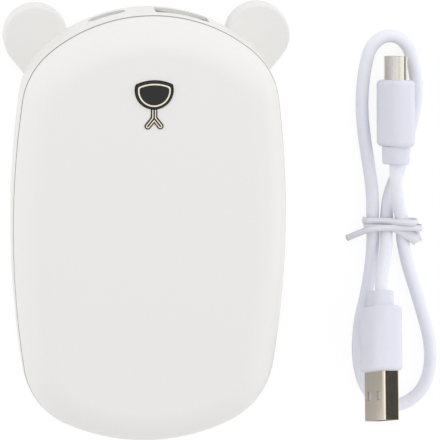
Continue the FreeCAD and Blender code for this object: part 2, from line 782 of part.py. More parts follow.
def make_usb_c_port():
    """Type C socket: drawn metal shell and plastic core with its thin tongue."""
    shell = slot_bar(usb_c_width, usb_c_height, -usb_c_depth, 0)
    room_width = usb_c_width - 2 * usb_c_wall
    room_height = usb_c_height - 2 * usb_c_wall
    shell = shell.cut(slot_bar(room_width, room_height, -usb_c_depth + usb_c_wall, overrun))
    base_end = -port_recess - usb_c_tongue_length
    core = slot_bar(room_width - 2 * socket_fit, room_height - 2 * socket_fit,
                    -usb_c_depth + usb_c_wall, base_end)
    core = core.fuse(bar(usb_c_tongue_width, usb_c_tongue_thickness, base_end, -port_recess))
    shapes = {"usb_c_port_shell": shell, "usb_c_port_core": core.removeSplitter()}
    return {name: port_place(shape, usb_c_x, usb_c_height_place) for name, shape in shapes.items()}


def lead_pair(points, x):
    """Two equal wires side by side along a route drawn in the YZ plane."""
    wires = []
    for side in (-1, 1):
        route = [(x + side * lead_pitch / 2, y, z) for y, z in points]
        wires.append(tube(route, lead_radius)[0])
    return Part.makeCompound(wires)


def make_leads():
    """Wires from the cells and from both heater films to the board."""
    strip_end = cell_top + cap_height + strip_thickness
    on_board = board_top + lead_radius + lead_seat
    strip_z = cell_height
    board_y = board_low + lead_run
    battery = [(strip_end, strip_z), (strip_end + lead_run / 2, strip_z), (board_low, on_board + lead_radius),
               (board_y, on_board), (board_y + lead_run / 2, on_board)]
    film_z = crown_height(heater_lead_x, plate_high, front_wall + plate_thickness + film_thickness) - lead_run
    film_y = plate_high - layer_step + lead_seat
    bend = cell_top + lead_run
    front = [(film_y, film_z), (bend, film_z), (board_low + lead_run, film_z - 2 * lead_run),
             (board_low + lead_run, on_board + lead_run), (board_low + 2 * lead_run, on_board),
             (board_low + 3 * lead_run, on_board)]
    rear_z = rear_wall + plate_thickness + film_thickness + lead_radius + 3 * bond_gap + lead_seat
    rear_y = plate_high - layer_step + lead_seat
    rear = [(rear_y, rear_z), (cell_top, rear_z), (board_low, rear_z + lead_radius),
            (board_low + lead_run, rear_z + lead_run), (board_low + lead_run, board_under - lead_seat)]
    return {"battery_leads": lead_pair(battery, -battery_lead_x),
            "front_heater_leads": lead_pair(front, heater_lead_x),
            "rear_heater_leads": lead_pair(rear, heater_lead_x)}


def make_thermistor():
    """Glass bead that lies on the inner face of the front heat plate, past the film and the foam."""
    y = plate_high - layer_step + bead_radius + lead_seat
    z = crown_height(bead_x + bead_length, y + bead_radius, front_wall + plate_thickness + bond_gap)
    z -= bead_radius + lead_seat
    bead = Part.makeCylinder(bead_radius, bead_length, Vector(bead_x, y, z), Vector(1, 0, 0))
    return bead.makeFillet(bead_radius / 2, bead.Edges)


def plug_place(shape, tail, pitch, roll, turned, yaw=0):
    """Turn a plug drawn at the origin, tip towards +Y, to where it lies."""
    half_turn = Rotation(up, 180 if turned else 0)
    leaned = Rotation(Vector(0, 1, 0), -roll).multiply(half_turn)
    raised = Rotation(Vector(1, 0, 0), -pitch).multiply(leaned)
    shape.Placement = FreeCAD.Placement(tail, Rotation(up, yaw).multiply(raised))
    return shape


def make_grip(width, thickness, length, collar_width, collar_thickness, collar_length):
    """Moulded plug grip with a slimmer collar where the cord enters."""
    grip = slot_bar(width, thickness, collar_length, collar_length + length)
    ends = [face.OuterWire.Edges for face in grip.Faces if abs(face.normalAt(0, 0).y) > steep_share]
    grip = grip.makeFillet(grip_edge, ends[0] + ends[1])
    collar = slot_bar(collar_width, collar_thickness, 0, collar_length)
    tail = min(collar.Faces, key=lambda face: face.CenterOfMass.y)
    return grip.fuse(collar.makeFillet(collar_edge, tail.OuterWire.Edges)).removeSplitter()


def make_plug_a():
    """Large plug: grip, folded shell with its square windows, tongue and contacts."""
    front = plug_a_collar_length + plug_a_grip_length
    tip = front + plug_a_shell_length
    shell = folded_bar(plug_a_shell_width, plug_a_shell_height, front, tip, plug_a_shell_corner)
    room_width = plug_a_shell_width - 2 * plug_a_shell_wall
    room_height = plug_a_shell_height - 2 * plug_a_shell_wall
    shell = shell.cut(folded_bar(room_width, room_height, front, tip + overrun,
                                 plug_a_shell_corner - plug_a_shell_wall))
    for side in (-1, 1):
        window = block(-plug_a_window / 2, plug_a_window / 2, tip - plug_a_window_drop - plug_a_window,
                       tip - plug_a_window_drop, -plug_a_shell_height, plug_a_shell_height)
        window.translate(Vector(side * plug_a_window_pitch / 2, 0, 0))
        shell = shell.cut(window)
    ceiling = room_height / 2 - plug_fit
    tongue_under = ceiling - plug_a_tongue_thickness
    tongue_half = room_width / 2 - plug_fit
    tongue = block(-tongue_half, tongue_half, front, tip - plug_a_tongue_setback, tongue_under, ceiling)
    contacts = []
    for index in range(plug_a_contact_count):
        contact = block(-plug_a_contact_width / 2, plug_a_contact_width / 2, front,
                        tip - plug_a_contact_setback, tongue_under - plug_a_contact_thickness, tongue_under)
        contact.translate(Vector((index - (plug_a_contact_count - 1) / 2) * plug_a_contact_pitch, 0, 0))
        contacts.append(contact)
    grip = make_grip(plug_a_grip_width, plug_a_grip_thickness, plug_a_grip_length, plug_a_collar_width,
                     plug_a_collar_thickness, plug_a_collar_length)
    shapes = {"usb_a_plug_grip": grip, "usb_a_plug_shell": shell, "usb_a_plug_tongue": tongue,
              "usb_a_plug_contacts": Part.makeCompound(contacts)}
    return {name: plug_place(shape, plug_a_tail, plug_a_pitch, plug_a_roll, True, plug_a_yaw)
            for name, shape in shapes.items()}


def make_plug_c():
    """Small plug: grip, drawn shell and the slotted core inside it."""
    front = plug_c_collar_length + plug_c_grip_length
    tip = front + plug_c_shell_length
    shell = slot_bar(plug_c_shell_width, plug_c_shell_height, front, tip)
    room_width = plug_c_shell_width - 2 * plug_c_shell_wall
    room_height = plug_c_shell_height - 2 * plug_c_shell_wall
    shell = shell.cut(slot_bar(room_width, room_height, front, tip + overrun))
    core = slot_bar(room_width - 2 * plug_fit, room_height - 2 * plug_fit, front, tip - plug_c_tongue_setback)
    core = core.cut(bar(plug_c_slot_width, plug_c_slot_height, tip - plug_c_slot_depth, tip))
    grip = make_grip(plug_c_grip_width, plug_c_grip_thickness, plug_c_grip_length, plug_c_collar_width,
                     plug_c_collar_thickness, plug_c_collar_length)
    shapes = {"usb_c_plug_grip": grip, "usb_c_plug_shell": shell, "usb_c_plug_core": core}
    return {name: plug_place(shape, plug_c_tail, plug_c_pitch, plug_c_roll, False)
            for name, shape in shapes.items()}


def make_cord_and_tie():
    """The charging cord and the twist tie that holds its three strands."""
    shapes = {}
    for name, route, diameter in (("charging_cord", cord_route, cord_diameter),
                                  ("twist_tie", tie_route, tie_diameter)):
        solid, path, radii = tube(route, diameter / 2)
        report_tube(name, solid, path, radii, diameter)
        shapes[name] = solid
    return shapes


def make_all():
    outer = rolled_body(0, 0, 0)
    cavity = rolled_body(side_wall, rear_wall, front_wall)
    parts = {"rear_housing": make_rear_housing(outer, cavity), "front_cover": make_front_cover(outer, cavity)}
    parts["nose_button"], parts["nose_line"] = make_nose_button()
    parts["mouth_badge"], parts["mouth_line"] = make_mouth()
    parts["battery_cell_left"] = make_cell(-1)
    parts["battery_cell_right"] = make_cell(1)
    parts["lower_cell_strip"], parts["upper_cell_strip"] = make_strips()
    parts.update(make_heating_layers())
    parts["main_board"] = make_board()
    parts["board_screws"] = make_screws()
    parts["switch_body"], parts["switch_plunger"] = make_switch()
    parts.update(make_board_parts())
    parts.update(make_usb_a_port())
    parts.update(make_usb_c_port())
    parts.update(make_leads())
    parts["thermistor"] = make_thermistor()
    parts.update(make_plug_a())
    parts.update(make_plug_c())
    parts.update(make_cord_and_tie())
    return parts


os.makedirs("parts", exist_ok=True)
for node, shape in make_all().items():
    shape.exportStep(f"parts/{node}.step")
    print(f"{node}: {len(shape.Solids)} solid, valid {shape.isValid()}, volume {shape.Volume:.1f}")
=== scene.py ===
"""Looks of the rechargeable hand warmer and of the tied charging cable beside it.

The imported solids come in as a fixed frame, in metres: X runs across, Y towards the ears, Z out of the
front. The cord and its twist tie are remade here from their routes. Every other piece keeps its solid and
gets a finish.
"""

import math

import bmesh
import bpy
from mathutils import Matrix, Vector


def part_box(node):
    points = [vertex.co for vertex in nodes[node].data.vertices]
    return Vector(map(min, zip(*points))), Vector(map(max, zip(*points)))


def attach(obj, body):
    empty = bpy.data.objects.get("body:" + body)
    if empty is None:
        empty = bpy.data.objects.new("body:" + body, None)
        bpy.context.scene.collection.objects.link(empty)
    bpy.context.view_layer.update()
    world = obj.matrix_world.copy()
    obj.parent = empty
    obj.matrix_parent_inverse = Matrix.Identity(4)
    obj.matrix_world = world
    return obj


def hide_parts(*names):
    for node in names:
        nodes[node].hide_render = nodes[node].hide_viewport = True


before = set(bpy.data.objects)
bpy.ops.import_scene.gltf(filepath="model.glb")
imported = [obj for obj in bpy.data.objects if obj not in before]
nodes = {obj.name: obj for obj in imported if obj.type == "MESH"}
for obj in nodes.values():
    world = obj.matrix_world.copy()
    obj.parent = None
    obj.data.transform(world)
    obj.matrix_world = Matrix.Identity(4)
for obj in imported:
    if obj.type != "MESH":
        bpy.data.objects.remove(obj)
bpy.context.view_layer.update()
millimetre = 0.001

# The photograph's camera: a long lens above the front, leaning towards the ears, with its places in
# millimetres and its roll in degrees
camera_place = (-76.84, 199.33, 783.95)
camera_target = (18.24, 0.75, 13.0)
camera_roll = 0.8
camera_lens = 261.74

# The cord's route from the small plug to the large one, in millimetres: that of the part's source, with a
# few points by the tie moved by up to 0.5 mm
cord_diameter = 3.3
cord_route = [
    (63.2, 13.6, 9.5), (63.2, 10.45, 10.055), (63.4, 7.0, 9.7), (64.05, 3.8, 8.25), (65.25, 0.4, 6.05),
    (66.3, -2.9, 3.95), (66.5, -7.1, 2.65), (68.1, -13.9, 1.75), (70.7, -21.7, 1.75), (73.1, -29.1, 1.75),
    (74.9, -35.7, 1.75), (75.2, -42.1, 1.75), (73.75, -47.8, 1.75), (70.0, -51.6, 1.75), (65.9, -52.9, 1.75),
    (62.0, -51.9, 1.75), (58.9, -48.6, 1.75), (56.9, -44.1, 1.75), (55.9, -37.9, 1.75), (56.2, -29.9, 1.75),
    (58.05, -21.5, 1.75), (59.0, -13.5, 1.75), (59.05, -7.1, 2.5), (58.7, -2.7, 3.3), (58.7, 1.7, 2.7),
    (58.5, 6.1, 1.75), (57.5, 12.1, 1.75), (56.3, 18.7, 1.75), (55.4, 25.9, 1.75), (55.5, 33.2, 1.75),
    (56.45, 39.6, 1.75), (57.7, 42.9, 1.75), (60.5, 45.1, 1.75), (63.9, 45.05, 1.75), (66.65, 42.9, 1.75),
    (68.1, 39.2, 1.75), (69.3, 33.6, 1.75), (69.4, 27.8, 1.75), (68.3, 22.0, 1.75), (66.8, 16.2, 1.75),
    (65.8, 11.2, 1.75), (63.9, 6.5, 1.75), (62.6, 2.1, 2.4), (62.25, -2.7, 3.3), (62.15, -6.4, 4.05),
    (62.05, -9.9, 5.2), (61.25, -13.3, 6.35), (60.5, -16.6, 7.44), (60.5, -19.8, 8.6),
]

# The twist tie's route, from the end tucked in on the right, through the flap folded over that end, twice
# round the three strands and out to the left, and half the heights of its thin wings and of its wire
tie_route = [
    (70.0, -4.4, 2.3), (70.2, -5.6, 2.4), (70.4, -7.0, 2.5), (70.7, -8.7, 3.1), (69.5, -7.3, 4.3),
    (67.3, -5.7, 5.1), (65.2, -4.5, 5.55), (62.2, -3.75, 5.75), (58.6, -3.75, 5.35), (56.75, -3.8, 5.2),
    (56.6, -3.8, 1.2), (58.6, -3.6, 1.05), (66.5, -3.3, 1.05), (70.1, -3.3, 1.2), (70.1, -2.6, 6.4),
    (66.3, -2.2, 7.15), (62.3, -2.0, 5.9), (58.6, -2.05, 5.4), (56.4, -2.1, 5.2), (56.3, -2.9, 0.6),
    (58.5, -3.6, 0.42), (66.5, -4.6, 0.42), (71.4, -5.0, 0.6), (71.4, -4.2, 6.2), (67.0, -3.75, 6.4),
    (61.0, -3.7, 6.4), (57.4, -4.1, 6.0), (54.9, -5.8, 3.6), (52.4, -7.6, 1.4),
]
tie_half_wing = 0.12
tie_half_wire = 0.3

# Half of the tie's width and its direction at each point: sideways in the tucked end, broad in the flap that
# is folded over it, and narrow where the tie is wound round the strands
tucked_side = (0.8, 0.16, 0.0)
flap_sides = [(1.1, 0.7, 0.0), (0.8, 1.1, 0.0), (0.6, 1.2, 0.0), (0.3, 1.1, 0.0)]
wound_side = (0.0, 0.8, 0.0)
tucked_points = 3
wound_points = len(tie_route) - tucked_points - len(flap_sides)
tie_sides = [tucked_side] * tucked_points + flap_sides + [wound_side] * wound_points

# The parting gap between rear housing and front cover, whose faces get painted shade: its middle height and
# half its width
gap_middle = 19.55
gap_half = 0.27

# Shares of the light: from the horizon to the top, from the middle to both sides, from left to right, and
# from the lower end to the ear end
light_by_height = (1.13, 0.61)
light_aside = (0.9, 1.8)
light_to_right = (0.96, 1.04)
light_to_ears = (0.86, 1.16)

# Corners of two cards that show only in reflections: a dark one high on the right for the large plug's
# narrow side, and a grey one on the floor for its wide side
dark_corners = [(185.0, -40.0, 50.0), (185.0, 75.0, 50.0), (185.0, 75.0, 215.0), (185.0, -40.0, 215.0)]
grey_corners = [(38.0, -64.0, 0.0), (57.0, -64.0, 0.0), (57.0, -36.0, 0.0), (38.0, -36.0, 0.0)]

# The floor reaches this far on each side, and lies this far below the part
floor_reach = 1500.0
floor_sink = 0.05

# One soft lamp: its place and width in millimetres, and its power in watts
lamp_place = (100.0, 500.0, 700.0)
lamp_width = 700.0
lamp_power = 0.8

# Sockets of the node that mixes two colours, and bands that a wave pattern of unit scale has in one unit
mix_share, mix_first, mix_second, mix_result = 0, 6, 7, 2
bands_per_unit = 20 / math.tau


def metres(point):
    """A point in metres, from one in millimetres."""
    return Vector(point) * millimetre


def spline_curve(name, route, radius=0.0):
    """A smooth open curve whose control points are a route in millimetres, each with its own radius."""
    curve = bpy.data.curves.new(name, "CURVE")
    curve.dimensions = "3D"
    curve.twist_mode = "MINIMUM"
    spline = curve.splines.new("NURBS")
    spline.points.add(len(route) - 1)
    for point, spot in zip(spline.points, route):
        point.co = (*metres(spot), 1.0)
        point.radius = radius * millimetre
    spline.order_u = 3
    spline.use_endpoint_u = True
    spline.resolution_u = 8
    curve.use_fill_caps = True
    return curve


def points_along(route):
    """Closely spaced points of the smooth curve that a route draws."""
    curve = spline_curve("path_helper", route)
    helper = bpy.data.objects.new("path_helper", curve)
    line = bpy.data.meshes.new_from_object(helper)
    points = [vertex.co.copy() for vertex in line.vertices]
    bpy.data.objects.remove(helper)
    bpy.data.curves.remove(curve)
    bpy.data.meshes.remove(line)
    return points


def show(name, data, body):
    """Put a finished piece in the scene, moving with a body."""
    piece = bpy.data.objects.new(name, data)
    bpy.context.scene.collection.objects.link(piece)
    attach(piece, body)
    return piece


def make_cord():
    """Round jacket of the cord, whose thickness is the radius at its points."""
    curve = spline_curve("cord_jacket", cord_route, cord_diameter / 2)
    curve.bevel_depth = 1.0
    curve.bevel_resolution = 7
    cord = show("cord_jacket", curve, "housing")
    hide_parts("charging_cord")
    return cord


def tie_section():
    """Outline across the tie, in shares of its half width and in millimetres: a round wire between wings."""
    wing_edge, wing_foot, ridge_side, ridge_height = 0.98, 0.42, 0.2, 0.85
    wing = [(1.0, 0.0), (wing_edge, tie_half_wing), (wing_foot, tie_half_wing)]
    right = wing + [(ridge_side, ridge_height * tie_half_wire)]
    upper = right + [(0.0, tie_half_wire)] + [(-x, z) for x, z in reversed(right)]
    return upper + [(x, -z) for x, z in reversed(upper[1:-1])]


def make_tie():
    """Flat plastic sleeve with a wire along its middle, drawn along its route."""
    path = points_along(tie_route)
    sides = points_along(tie_sides)
    section = tie_section()
    sheet = bmesh.new()
    loops = []
    for index, (place, side) in enumerate(zip(path, sides)):
        along = (path[min(index + 1, len(path) - 1)] - path[max(index - 1, 0)]).normalized()
        across = (side - along * side.dot(along)).normalized() * side.length
        outward = along.cross(across).normalized() * millimetre
        ring = [sheet.verts.new(place + across * x + outward * z) for x, z in section]
        loops.append([sheet.edges.new(pair) for pair in zip(ring, ring[1:] + ring[:1])])
    for loop, later in zip(loops, loops[1:]):
        bmesh.ops.bridge_loops(sheet, edges=loop + later)
    for end in (loops[0], loops[-1]):
        bmesh.ops.contextual_create(sheet, geom=end)
    bmesh.ops.recalc_face_normals(sheet, faces=sheet.faces)
    mesh = bpy.data.meshes.new("wire_tie")
    sheet.to_mesh(mesh)
    sheet.free()
    mesh.shade_smooth()
    tie = show("wire_tie", mesh, "housing")
    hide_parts("twist_tie")
    return tie


def set_camera():
    """Aim the photograph's camera at its target, and roll it about its line of sight."""
    data = bpy.data.cameras.new("photo_camera")
    data.lens = camera_lens
    camera = bpy.data.objects.new("photo_camera", data)
    bpy.context.scene.collection.objects.link(camera)
    place = metres(camera_place)
    forward = (metres(camera_target) - place).normalized()
    right = forward.cross(Vector((0, 1, 0))).normalized()
    upward = right.cross(forward)
    level = Matrix((right, upward, -forward)).transposed()
    rolled = Matrix.Rotation(math.radians(camera_roll), 3, -forward) @ level
    camera.matrix_world = Matrix.LocRotScale(place, rolled.to_quaternion(), None)
    bpy.context.scene.camera = camera


def linear(colour):
    """Linear colour of an sRGB hex value."""
    parts = [int(colour[place:place + 2], 16) / 255 for place in (1, 3, 5)]
    return (*[part / 12.92 if part <= 0.04045 else ((part + 0.055) / 1.055) ** 2.4 for part in parts], 1.0)


def repeat(size):
    """Scale of a pattern that repeats over a size in millimetres."""
    return 1 / (size * millimetre)


def repeats(*sizes):
    """Scales of a pattern that repeats over its own size in millimetres along each axis."""
    return tuple(repeat(size) for size in sizes)


def add(tree, kind, sockets=None, **settings):
    """Add a node with its settings, and give each named input a value or a link."""
    node = tree.nodes.new(kind)
    for name, value in settings.items():
        setattr(node, name, value)
    for name, value in (sockets or {}).items():
        if isinstance(value, bpy.types.NodeSocket):
            tree.links.new(value, node.inputs[name])
        else:
            node.inputs[name].default_value = value
    return node


def begin(name, constants):
    """A new finish with the constants of its shader, and the coordinates that its patterns lie on."""
    finish = bpy.data.materials.new(name)
    finish.use_nodes = True
    tree = finish.node_tree
    shader = tree.nodes["Principled BSDF"]
    for socket, value in constants.items():
        shader.inputs[socket].default_value = value
    return finish, tree, add(tree, "ShaderNodeTexCoord").outputs["Object"]


def dress(tree, pattern, colours, roughness, relief):
    """Let a pattern vary a finish's colour and roughness, and raise it by a relief in millimetres."""
    shader = tree.nodes["Principled BSDF"]
    tint = add(tree, "ShaderNodeMix", {mix_share: pattern, mix_first: linear(colours[0]),
                                       mix_second: linear(colours[1])}, data_type="RGBA")
    gloss = add(tree, "ShaderNodeMapRange",
                {"Value": pattern, "To Min": roughness[0], "To Max": roughness[1]})
    bump = add(tree, "ShaderNodeBump", {"Height": pattern, "Distance": relief * millimetre})
    tree.links.new(tint.outputs[mix_result], shader.inputs["Base Color"])
    tree.links.new(gloss.outputs["Result"], shader.inputs["Roughness"])
    tree.links.new(bump.outputs["Normal"], shader.inputs["Normal"])


def satin_abs():
    # ABS moulded in a spark-eroded tool: a soft sheen over a fine even grain, and no clear reflection.
    # The grain is 0.2 mm in the tool and drawn at 0.6 mm so that it shows. Painted shade darkens the parting
    # gap, standing in for the shadow in its depth.
    finish, tree, place = begin("satin_abs", {"IOR": 1.54})
    grain = add(tree, "ShaderNodeTexNoise", {"Vector": place, "Scale": repeat(0.6), "Detail": 3.0})
    dress(tree, grain.outputs["Fac"], ("#EBEAE8", "#E8E7E5"), roughness=(0.36, 0.46), relief=0.006)
    # Painted shade: a grey band across the height of the parting gap darkens the faces inside it
    height = add(tree, "ShaderNodeSeparateXYZ", {"Vector": place}).outputs["Z"]
    in_gap = add(tree, "ShaderNodeMath", {0: height, 1: gap_middle * millimetre, 2: gap_half * millimetre},
                 operation="COMPARE")
    base = tree.nodes["Principled BSDF"].inputs["Base Color"]
    painted_gap_shade = add(tree, "ShaderNodeMix", {mix_share: in_gap.outputs["Value"], mix_second: linear("#BDBBB7"),
                                        mix_first: base.links[0].from_socket}, data_type="RGBA")
    tree.links.new(painted_gap_shade.outputs[mix_result], base)
    return finish


def black_lacquer():
    # Gloss lacquer over black plastic: a sharp white reflection with a trace of orange peel
    finish, tree, place = begin("black_lacquer", {"IOR": 1.45})
    peel = add(tree, "ShaderNodeTexNoise", {"Vector": place, "Scale": repeat(1.4), "Detail": 1.0})
    dress(tree, peel.outputs["Fac"], ("#0C0C0D", "#121214"), roughness=(0.1, 0.18), relief=0.008)
    return finish


def pale_gold():
    # Pale gold plating on a stamped line: warm and bright, with polishing marks
    finish, tree, place = begin("pale_gold", {"Metallic": 1.0})
    marks = add(tree, "ShaderNodeTexNoise", {"Vector": place, "Scale": repeat(0.5), "Detail": 2.0})
    dress(tree, marks.outputs["Fac"], ("#F7F0DB", "#EADFC3"), roughness=(0.18, 0.32), relief=0.004)
    return finish


def shrink_sleeve():
    # Heat-shrunk PVC round a cell: glossy, with shallow wrinkles round its girth
    finish, tree, place = begin("shrink_sleeve", {"IOR": 1.53})
    lines = add(tree, "ShaderNodeMapping", {"Vector": place, "Scale": repeats(9.0, 1.2, 9.0)})
    wrinkles = add(tree, "ShaderNodeTexNoise",
                   {"Vector": lines.outputs["Vector"], "Scale": 1.0, "Detail": 2.0})
    dress(tree, wrinkles.outputs["Fac"], ("#2B5B8E", "#336699"), roughness=(0.2, 0.3), relief=0.03)
    return finish


def nickel_strip():
    # Rolled nickel: a cool grey metal with long rolling lines
    finish, tree, place = begin("nickel_strip", {"Metallic": 1.0})
    lines = add(tree, "ShaderNodeMapping", {"Vector": place, "Scale": repeats(14.0, 0.4, 0.4)})
    rolling = add(tree, "ShaderNodeTexNoise",
                  {"Vector": lines.outputs["Vector"], "Scale": 1.0, "Detail": 3.0})
    dress(tree, rolling.outputs["Fac"], ("#C1BEB7", "#ABA8A1"), roughness=(0.24, 0.4), relief=0.004)
    return finish


def aluminium_sheet():
    # Mill-finish aluminium: pale metal with rolling lines along the sheet
    finish, tree, place = begin("aluminium_sheet", {"Metallic": 1.0})
    lines = add(tree, "ShaderNodeMapping", {"Vector": place, "Scale": repeats(0.5, 20.0, 0.5)})
    rolling = add(tree, "ShaderNodeTexNoise",
                  {"Vector": lines.outputs["Vector"], "Scale": 1.0, "Detail": 3.0})
    dress(tree, rolling.outputs["Fac"], ("#CDCED0", "#B9BABD"), roughness=(0.28, 0.42), relief=0.004)
    return finish


def polyimide_film():
    # Amber film over an etched heating track: bands of track 3 mm apart show through it
    finish, tree, place = begin("polyimide_film", {"IOR": 1.7})
    track = add(tree, "ShaderNodeTexWave",
                {"Vector": place, "Scale": repeat(3.0) / bands_per_unit, "Distortion": 0.6},
                bands_direction="Y")
    dress(tree, track.outputs["Fac"], ("#C98A2E", "#8E5A1E"), roughness=(0.22, 0.34), relief=0.02)
    return finish


def cell_foam():
    # Closed-cell foam: dull and soft, with cells of about 0.8 mm at its cut faces
    finish, tree, place = begin("cell_foam", {"IOR": 1.45})
    cells = add(tree, "ShaderNodeTexVoronoi", {"Vector": place, "Scale": repeat(0.8)})
    dress(tree, cells.outputs["Distance"], ("#2C2C31", "#3C3C42"), roughness=(0.82, 0.95), relief=0.08)
    return finish


def solder_mask():
    # Green lacquer over copper tracks: the tracks stand up a little and show paler
    finish, tree, place = begin("solder_mask", {"IOR": 1.55})
    tracks = add(tree, "ShaderNodeTexVoronoi", {"Vector": place, "Scale": repeat(1.6)}, distance="CHEBYCHEV")
    dress(tree, tracks.outputs["Distance"], ("#1C5232", "#2F7A4D"), roughness=(0.24, 0.34), relief=0.03)
    return finish


def zinc_plate():
    # Zinc-plated steel: bluish grey with a grainy bloom
    finish, tree, place = begin("zinc_plate", {"Metallic": 1.0})
    bloom = add(tree, "ShaderNodeTexNoise", {"Vector": place, "Scale": repeat(0.4), "Detail": 2.0})
    dress(tree, bloom.outputs["Fac"], ("#B1B4B8", "#9A9DA2"), roughness=(0.26, 0.4), relief=0.005)
    return finish


def black_nylon():
    # Moulded nylon: dull black with a fine grain
    finish, tree, place = begin("black_nylon", {"IOR": 1.53})
    grain = add(tree, "ShaderNodeTexNoise", {"Vector": place, "Scale": repeat(0.4), "Detail": 2.0})
    dress(tree, grain.outputs["Fac"], ("#222225", "#2B2B2E"), roughness=(0.45, 0.58), relief=0.01)
    return finish


def chip_epoxy():
    # Filled moulding epoxy: dark grey and dull, with a sandy face
    finish, tree, place = begin("chip_epoxy", {"IOR": 1.55})
    sand = add(tree, "ShaderNodeTexNoise", {"Vector": place, "Scale": repeat(0.25), "Detail": 2.0})
    dress(tree, sand.outputs["Fac"], ("#1C1D1F", "#27282B"), roughness=(0.55, 0.68), relief=0.008)
    return finish


def pressed_ferrite():
    # Pressed ferrite powder: charcoal and dull, with small pits
    finish, tree, place = begin("pressed_ferrite", {"IOR": 1.6})
    pits = add(tree, "ShaderNodeTexVoronoi", {"Vector": place, "Scale": repeat(0.5)})
    dress(tree, pits.outputs["Distance"], ("#2B2B2D", "#3E3E41"), roughness=(0.6, 0.78), relief=0.03)
    return finish


def drawn_can():
    # Drawn aluminium can: bright, with faint lines along its height
    finish, tree, place = begin("drawn_can", {"Metallic": 1.0})
    lines = add(tree, "ShaderNodeMapping", {"Vector": place, "Scale": repeats(0.3, 0.3, 6.0)})
    drawing = add(tree, "ShaderNodeTexNoise",
                  {"Vector": lines.outputs["Vector"], "Scale": 1.0, "Detail": 2.0})
    dress(tree, drawing.outputs["Fac"], ("#CBCCCE", "#BBBCBF"), roughness=(0.2, 0.32), relief=0.004)
    return finish


def lamp_resin():
    # Cast resin over a small lamp: milky yellow, half clear
    finish, tree, place = begin("lamp_resin", {"IOR": 1.52, "Transmission Weight": 0.35})
    haze = add(tree, "ShaderNodeTexNoise", {"Vector": place, "Scale": repeat(0.8), "Detail": 1.0})
    dress(tree, haze.outputs["Fac"], ("#F0EBCB", "#E6DFB4"), roughness=(0.12, 0.22), relief=0.004)
    return finish


def bead_glass():
    # Glass bead round the sensor: amber and smooth
    finish, tree, place = begin("bead_glass", {"IOR": 1.5, "Transmission Weight": 0.6})
    swirl = add(tree, "ShaderNodeTexNoise", {"Vector": place, "Scale": repeat(1.0), "Detail": 1.0})
    dress(tree, swirl.outputs["Fac"], ("#D8B886", "#C9A56E"), roughness=(0.06, 0.12), relief=0.004)
    return finish


def socket_nickel():
    # Nickel-plated sheet of the sockets: pale metal with fine lines from the blanking strip, made paler than
    # its own tone as painted light that lifts the shade inside the port mouths
    finish, tree, place = begin("socket_nickel", {"Metallic": 1.0})
    lines = add(tree, "ShaderNodeMapping", {"Vector": place, "Scale": repeats(0.4, 6.0, 0.4)})
    strip = add(tree, "ShaderNodeTexNoise",
                {"Vector": lines.outputs["Vector"], "Scale": 1.0, "Detail": 2.0})
    dress(tree, strip.outputs["Fac"], ("#DEDBD5", "#CECBC5"), roughness=(0.26, 0.4), relief=0.004)
    return finish


def socket_resin():
    # Glass-filled resin of the socket cores: off-white and dull, made paler than its own tone as painted
    # light that lifts the shade inside the port mouths
    finish, tree, place = begin("socket_resin", {"IOR": 1.55})
    fibres = add(tree, "ShaderNodeTexNoise", {"Vector": place, "Scale": repeat(0.4), "Detail": 2.0})
    dress(tree, fibres.outputs["Fac"], ("#ECEAE7", "#E4E2DE"), roughness=(0.42, 0.55), relief=0.006)
    return finish


def contact_gold():
    # Thin gold over copper contacts: yellow metal with rubbing marks along each contact
    finish, tree, place = begin("contact_gold", {"Metallic": 1.0})
    lines = add(tree, "ShaderNodeMapping", {"Vector": place, "Scale": repeats(0.25, 3.0, 0.25)})
    rubbing = add(tree, "ShaderNodeTexNoise",
                  {"Vector": lines.outputs["Vector"], "Scale": 1.0, "Detail": 2.0})
    dress(tree, rubbing.outputs["Fac"], ("#DDBB66", "#C7A24A"), roughness=(0.2, 0.34), relief=0.003)
    return finish


def silicone_wire(node):
    # Silicone-covered wires, black on the left and red on the right: matt rubber
    finish, tree, place = begin("silicone_wire", {"IOR": 1.42})
    low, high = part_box(node)
    across = add(tree, "ShaderNodeSeparateXYZ", {"Vector": place})
    right = add(tree, "ShaderNodeMath", {0: across.outputs["X"], 1: (low.x + high.x) / 2},
                operation="GREATER_THAN")
    dress(tree, right.outputs["Value"], ("#2A2A2B", "#A8241F"), roughness=(0.5, 0.46), relief=0.0)
    return finish


def moulded_grip():
    # Thermoplastic rubber moulded round the plugs: cool white and satin, with the tool's fine grain
    finish, tree, place = begin("moulded_grip", {"IOR": 1.5})
    grain = add(tree, "ShaderNodeTexNoise", {"Vector": place, "Scale": repeat(0.7), "Detail": 2.0})
    dress(tree, grain.outputs["Fac"], ("#E3E4EF", "#DEDFEA"), roughness=(0.4, 0.5), relief=0.006)
    return finish


def jacket_painted_light():
    # Thermoplastic rubber extruded round the wires, the grips' own plastic: smoother than the grips, with
    # faint waves. Its paler colour than the grips is painted light, standing in for brighter light on the
    # cord
    finish, tree, place = begin("jacket_painted_light", {"IOR": 1.5})
    waves = add(tree, "ShaderNodeTexNoise", {"Vector": place, "Scale": repeat(1.1), "Detail": 1.0})
    dress(tree, waves.outputs["Fac"], ("#EFF0F9", "#EAEBF5"), roughness=(0.36, 0.44), relief=0.008)
    return finish


def folded_nickel():
    # Nickel-plated sheet, folded into the large plug's shell: warm and bright, with rolling lines along it
    finish, tree, place = begin("folded_nickel", {"Metallic": 1.0})
    lines = add(tree, "ShaderNodeMapping", {"Vector": place, "Scale": repeats(0.35, 7.0, 0.35)})
    rolling = add(tree, "ShaderNodeTexNoise",
                  {"Vector": lines.outputs["Vector"], "Scale": 1.0, "Detail": 3.0})
    dress(tree, rolling.outputs["Fac"], ("#EBE1D2", "#D9CEBF"), roughness=(0.12, 0.22), relief=0.003)
    return finish


